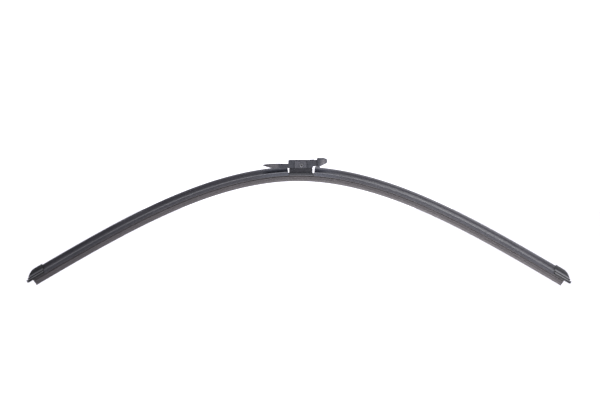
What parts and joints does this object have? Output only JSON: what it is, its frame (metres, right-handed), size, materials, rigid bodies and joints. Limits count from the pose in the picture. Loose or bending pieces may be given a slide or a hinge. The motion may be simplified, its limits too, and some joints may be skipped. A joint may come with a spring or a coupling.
{
  "type": "windscreen wiper blade",
  "caption": "Flat windscreen wiper blade: bent spring rails, rubber element, spoiler halves and end caps, on a tilting push-on adapter with a sprung lock button.",
  "frame": {"origin": "on the adapter's flat roof, straight above the tilt pivot", "axes": "+X along the blade towards the adapter's nose, +Z away from the glass, Y the wiping direction"},
  "size_m": [0.6117, 0.022, 0.1434],
  "materials": {
    "wiping_rubber": "matt, graphite coated",
    "spoiler_elastomer": "satin extruded elastomer",
    "rail_steel": "oiled spring steel",
    "coated_steel": "black coated",
    "black_plastic": "fine moulded grain",
    "bearing_plastic": "smooth low-friction plastic",
    "pin_steel": "dark plated"
  },
  "bodies": {
    "adapter": {"adapter_housing": "black_plastic", "front_bearing_plate": "bearing_plastic", "rear_bearing_plate": "bearing_plastic", "nose_cap": "black_plastic", "arm_fairing": "black_plastic", "lock_spring": "pin_steel"},
    "blade": {"wiper_rubber": "wiping_rubber", "front_rail": "rail_steel", "rear_rail": "rail_steel", "spoiler_inboard": "spoiler_elastomer", "spoiler_outboard": "spoiler_elastomer", "end_cap_inboard": "black_plastic", "end_cap_outboard": "black_plastic", "rail_clip_inboard": "rail_steel", "rail_clip_outboard": "rail_steel", "rail_bracket": "coated_steel", "connector_base": "black_plastic", "base_rivet_inboard": "pin_steel", "base_rivet_outboard": "pin_steel", "pivot_pin": "pin_steel"},
    "lock_button": {"lock_button": "black_plastic"}
  },
  "joints": [
    {"name": "blade_tilt", "type": "hinge", "parent": "adapter", "child": "blade", "pos_m": [0, 0, -0.0062], "axis": [0, 1, 0], "range_deg": [-8, 4]},
    {"name": "lock_press", "type": "slide", "parent": "adapter", "child": "lock_button", "axis": [0, 0, -1], "range_m": [0, 0.0012], "stiffness_N_per_m": 600, "springref_m": -0.001, "deforming": ["lock_spring"]}
  ]
}
